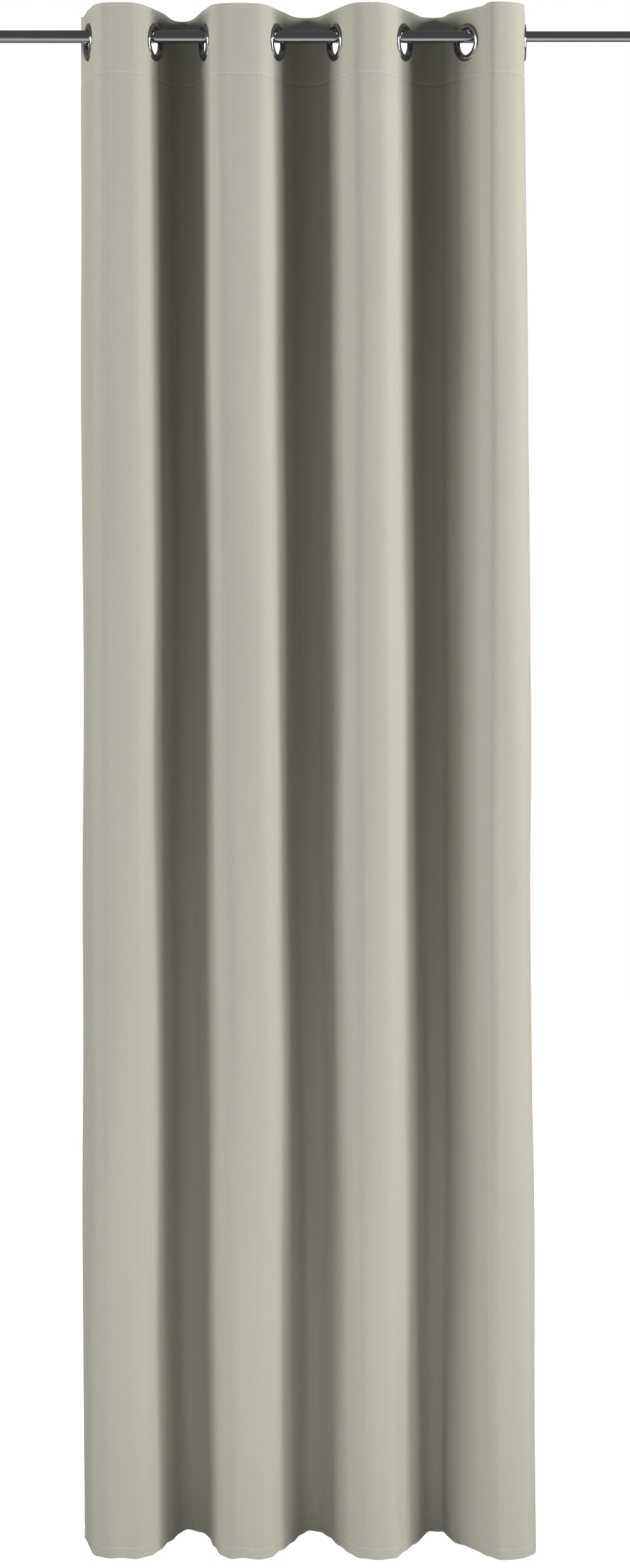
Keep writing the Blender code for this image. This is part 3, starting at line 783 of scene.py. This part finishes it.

# %% [markdown]
# ## Placing the cloth
#
# Each cloth piece and its stitches have their placement carried into their points. The model's own
# strips and folds, which the pieces replace, are hidden.

for entry in cloth_pieces:
    k = entry["fold"]
    for piece in (entry["piece"], entry["stitches"]):
        if entry["leaving"]:
            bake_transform(piece)
        else:
            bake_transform(piece)
    first, last = entry["columns"]
    if entry["leaving"]:
        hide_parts(f"curtain_strip_{k + 1}")
    else:
        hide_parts(f"curtain_fold_{k + 1}")
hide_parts(f"curtain_strip_{EYELETS}")

# %% [markdown]
# ## Turned metal
#
# The rings and the tubes are round, so they are made by carrying a profile round an axis. A profile is
# a list of (radius, height) points. The tubes' corners are rounded first, because a real edge always
# shows a thin line of light.

# %% Turning
def rounded(profile, radius, steps=4):
    """Replaces each corner of a closed or open profile by a short curve that is radius long each way."""
    profile = np.array(profile, float)
    closed = profile[0][0] > 0 and profile[-1][0] > 0
    points = []
    count = len(profile)
    for i in range(count):
        here = profile[i]
        if not closed and i in (0, count - 1):
            points.append(here)
            continue
        before, after = profile[i - 1], profile[(i + 1) % count]
        a, b = np.linalg.norm(before - here), np.linalg.norm(after - here)
        cut = min(radius, 0.45 * a, 0.45 * b)
        start, end = here + (before - here) * cut / a, here + (after - here) * cut / b
        for t in np.linspace(0, 1, steps + 1):
            points.append((1 - t) ** 2 * start + 2 * t * (1 - t) * here + t * t * end)
    return np.array(points)


def turned(name, profile, centre, axis, steps=96):
    """A profile carried round an axis. Points are centre + h axis + r (cos a first + sin a second)."""
    profile = np.array(profile, float)
    axis = np.array(axis, float)
    second = np.array([0.0, 0.0, 1.0]) if abs(axis[2]) < 0.9 else np.array([0.0, 1.0, 0.0])
    first = np.cross(second, axis)
    angle = 2 * math.pi * np.arange(steps) / steps
    ring = np.cos(angle)[:, None] * first + np.sin(angle)[:, None] * second
    points = np.array(centre) + profile[:, None, :1] * ring[None] + profile[:, None, 1:] * axis
    rings = len(profile)
    index = np.arange(rings * steps).reshape(rings, steps)
    closed = profile[0, 0] > 0 and profile[-1, 0] > 0
    below = index if closed else index[:-1]
    above = np.roll(index, -1, axis=0) if closed else index[1:]
    faces = np.stack([below, np.roll(below, -1, axis=1), np.roll(above, -1, axis=1), above], axis=-1)
    mesh = bpy.data.meshes.new(name)
    mesh.from_pydata(points.reshape(-1, 3).tolist(), [], faces.reshape(-1, 4).tolist())
    work = bmesh.new()
    work.from_mesh(mesh)
    bmesh.ops.remove_doubles(work, verts=work.verts, dist=1e-6)
    bmesh.ops.recalc_face_normals(work, faces=work.faces)
    work.to_mesh(mesh)
    work.free()
    mesh.shade_smooth()
    mesh.set_sharp_from_angle(angle=math.radians(40))
    obj = bpy.data.objects.new(name, mesh)
    bpy.context.scene.collection.objects.link(obj)
    return obj


# %% [markdown]
# ## Metal finishes
#
# The eyelets are polished dark nickel. The rod is drawn tube with the same plating, so fine lines run
# along it and its reflections are streaked.

# %% Metal materials
def metal_material(name, colour, tint, rough, line_scale, relief):
    """A plated metal: the lines change its roughness and relief, and the clouds its colour."""
    material, tree, shader = new_material(name)
    place = tree.nodes.new("ShaderNodeTexCoord").outputs["Object"]
    drawn = place_group(tree, DRAWN, Place=place, Line_scale=line_scale)
    plug(tree, mixed(tree, drawn["Clouds"], (*colour, 1.0), (*tint, 1.0)), shader.inputs["Base Color"])
    plug(tree, level(tree, drawn["Lines"], rough * 0.7, rough * 1.4), shader.inputs["Roughness"])
    shader.inputs["Metallic"].default_value = 1.0
    bump(tree, shader, drawn["Lines"], 0.3, relief)
    return material


NICKEL = metal_material("polished dark nickel", (0.46, 0.46, 0.48), (0.40, 0.40, 0.42), 0.12,
                        (60.0, 60.0, 60.0), 0.01 * MM)
TUBE = metal_material("drawn tube", (0.40, 0.40, 0.41), (0.33, 0.33, 0.34), 0.11,
                      (1.2, 600.0, 600.0), 0.10 * MM)
SATIN = metal_material("satin plating", (0.40, 0.40, 0.41), (0.34, 0.34, 0.35), 0.28,
                       (90.0, 90.0, 90.0), 0.02 * MM)
ZINC = metal_material("zinc plating", (0.60, 0.60, 0.61), (0.50, 0.51, 0.53), 0.30,
                      (150.0, 150.0, 150.0), 0.02 * MM)

# %% [markdown]
# ## Eyelets
#
# The front ring is a dome with a barrel that passes through the cloth. The back ring is pressed over
# the barrel's end. Both profiles are half ellipses, made a little fuller, and the dome's inner side
# rolls into the barrel.

# %% Eyelet rings
RING_CREST = 4.1 * MM


def dome(inner, outer, base, crest, steps=20):
    """Half an ellipse from the outer edge, over the crest, to the inner edge: the height is the sine of
    the angle to the power 0.85, which makes it a little fuller."""
    t = np.linspace(0, math.pi, steps)
    middle, half = (inner + outer) / 2, (outer - inner) / 2
    return [(middle + half * math.cos(a), base + (crest - base) * math.sin(a) ** 0.85) for a in t]


def eyelet_profiles(eyelet):
    """Front and back profiles: heights are measured out of the cloth's face."""
    bore, outer = eyelet["bore"], eyelet["outer"]
    wall = 0.9 * MM
    front_dome = dome(bore, outer, 0.3 * MM, RING_CREST)
    front = front_dome + [(bore, -2.9 * MM), (bore + 0.3 * MM, -3.4 * MM), (bore + wall, -3.4 * MM),
                          (bore + wall, 0.3 * MM)]
    back = [(r, -h) for r, h in dome(bore + wall + 0.1 * MM, outer, 0.3 * MM, RING_CREST)]
    return front, back


for number, eyelet in enumerate(eyelets, 1):
    for side, profile in zip(("front", "back"), eyelet_profiles(eyelet)):
        node = f"eyelet_{number}_{side}_ring"
        ring = turned(f"eyelet_{number}_{side}", profile, eyelet["centre"], eyelet["out"])
        ring.data.materials.append(NICKEL)
        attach(ring, f"eyelet_{number}")
        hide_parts(node)
print("eyelet rings made:", 2 * EYELETS)

# %% [markdown]
# ## Rod
#
# Two tubes, one inside the other. Each is turned again with many more sides than the model has, and
# with rounded mouths.

# %% Tubes
def rebuild_tube(node, body):
    """A fine tube in a node's place: outer and inner radius and both ends are read from its points."""
    low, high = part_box(node)
    centre = np.array([0.0, ROD_Y, 0.0])
    axis = np.array([1.0, 0.0, 0.0])
    radii = distance_from_axis(node_points(node), centre, axis)
    outer, inner = radii.max(), radii.min()
    profile = rounded([(outer, low.x), (outer, high.x), (inner, high.x), (inner, low.x)], 0.35 * MM)
    tube = turned(node + "_fine", profile, centre, axis, 128)
    tube.data.materials.append(TUBE)
    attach(tube, body)
    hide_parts(node)
    return tube


rebuild_tube("rod_outer_tube", "rod_and_brackets")
rebuild_tube("rod_inner_tube", "rod_inner")


# %% [markdown]
# ## Brackets, caps and screws
#
# These keep the model's own shapes. Each is copied, its loose triangles are joined, and its sharp
# edges get a small bevel, which is what makes machined metal look machined.

# %% Refined copies of the model's hardware
def refined(node, body, material, bevel):
    """A joined copy of a node with bevelled edges, in the node's own place."""
    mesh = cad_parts[node].data.copy()
    work = bmesh.new()
    work.from_mesh(mesh)
    bmesh.ops.remove_doubles(work, verts=work.verts, dist=1e-6)
    flat = math.radians(1.0)
    bmesh.ops.dissolve_limit(work, angle_limit=flat, verts=work.verts, edges=work.edges)
    work.to_mesh(mesh)
    work.free()
    mesh.materials.clear()
    mesh.materials.append(material)
    obj = bpy.data.objects.new(node + "_fine", mesh)
    bpy.context.scene.collection.objects.link(obj)
    modifier = obj.modifiers.new("edges", "BEVEL")
    modifier.width = bevel
    modifier.segments = 2
    modifier.limit_method = "ANGLE"
    modifier.angle_limit = math.radians(35)
    modifier.harden_normals = True
    mesh.shade_smooth()
    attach(obj, body)
    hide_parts(node)
    return obj


for side in ("left", "right"):
    root = "rod_and_brackets"
    refined(f"{side}_wall_plate", root, SATIN, 0.4 * MM)
    refined(f"{side}_bracket_arm", root, SATIN, 0.4 * MM)
    refined(f"{side}_clamp_screw", f"{side}_clamp", SATIN, 0.3 * MM)
    refined(f"{side}_grub_screw", root, ZINC, 0.15 * MM)
    for place in ("upper", "lower"):
        refined(f"{side}_wall_screw_{place}", root, ZINC, 0.15 * MM)
refined("left_end_cap", "rod_and_brackets", SATIN, 0.4 * MM)
refined("right_end_cap", "rod_inner", SATIN, 0.4 * MM)

# %% [markdown]
# ## Floor and light
#
# The folds are modelled by light from the sides. Two boxes on the right give each fold its bright edge,
# and a broader one on the left opens the other flank. Little comes from the front, so the valleys stay
# dark. Only a low, weak box in front and the pale floor open their lower ends. A narrow strip on the
# floor near the wall draws the bright line along the rod.

# %% Stage
FLOOR_GAP = 0.03               # below the hem
FLOOR_HALF = 6.0
LIGHT_DISTANCE = 3.6           # of the side lights from the curtain's middle line


def make_floor():
    half = FLOOR_HALF
    z = TOP_Z - DROP - FLOOR_GAP
    mesh = bpy.data.meshes.new("floor")
    near, far = ROD_Y - half, ROD_Y + half
    corners = [(-half, near, z), (half, near, z), (half, far, z), (-half, far, z)]
    mesh.from_pydata(corners, [], [(0, 1, 2, 3)])
    material, tree, shader = new_material("pale floor")
    shader.inputs["Base Color"].default_value = (0.90, 0.90, 0.89, 1.0)
    shader.inputs["Roughness"].default_value = 0.9
    shader.inputs["Emission Color"].default_value = (1.0, 1.0, 1.0, 1.0)
    path = tree.nodes.new("ShaderNodeLightPath")
    tree.links.new(path.outputs["Is Camera Ray"], shader.inputs["Emission Strength"])
    mesh.materials.append(material)
    floor = bpy.data.objects.new("floor", mesh)
    bpy.context.scene.collection.objects.link(floor)


def area_light(name, azimuth, distance, z, width, tall, power):
    """A soft box round the curtain, aimed level at its middle line. Azimuth 0 is the camera's side."""
    data = bpy.data.lights.new(name, "AREA")
    data.shape = "RECTANGLE"
    data.size, data.size_y = width, tall
    data.energy = power
    light = bpy.data.objects.new(name, data)
    angle = math.radians(azimuth)
    light.location = (distance * math.sin(angle), ROD_Y - distance * math.cos(angle), z)
    light.rotation_euler = (math.pi / 2, 0.0, angle)
    light.visible_camera = False
    bpy.context.scene.collection.objects.link(light)
    return light


def make_world(seen, ambient, mirrored):
    """A surround with three brightnesses: for the eye, for matt surfaces and for reflections."""
    world = bpy.data.worlds.new("studio")
    world.use_nodes = True
    tree = world.node_tree
    background = tree.nodes["Background"]
    path = tree.nodes.new("ShaderNodeLightPath")
    strength = maths(tree, "MULTIPLY_ADD", path.outputs["Is Camera Ray"], seen - ambient, ambient)
    strength = maths(tree, "MULTIPLY_ADD", path.outputs["Is Glossy Ray"], mirrored - ambient, strength)
    background.inputs["Color"].default_value = (1.0, 1.0, 1.0, 1.0)
    tree.links.new(strength, background.inputs["Strength"])
    bpy.context.scene.world = world


make_floor()
make_world(1.0, 0.01, 0.15)
area_light("key_right_high", 62, LIGHT_DISTANCE, 0.35, 1.2, 1.1, 119)
area_light("key_right_low", 70, LIGHT_DISTANCE, -0.75, 0.6, 1.1, 54)
area_light("fill_left", -66, LIGHT_DISTANCE, 0.35, 1.5, 1.1, 110)
area_light("low_left", -33, LIGHT_DISTANCE, -1.6, 1.0, 1.4, 15)
low_front = area_light("low_front", 0, 1.6, -2.25, 3.0, 0.25, 7)
low_front.visible_glossy = False           # the rod mirrors the strip below it and not this box
rod_line = area_light("rod_line", 0, 0.65, TOP_Z - DROP - 0.02, 4.0, 0.12, 3)
rod_line.rotation_euler = (math.pi, 0.0, 0.0)
bpy.context.scene.view_settings.view_transform = "Standard"

# %% The end
bpy.context.view_layer.update()
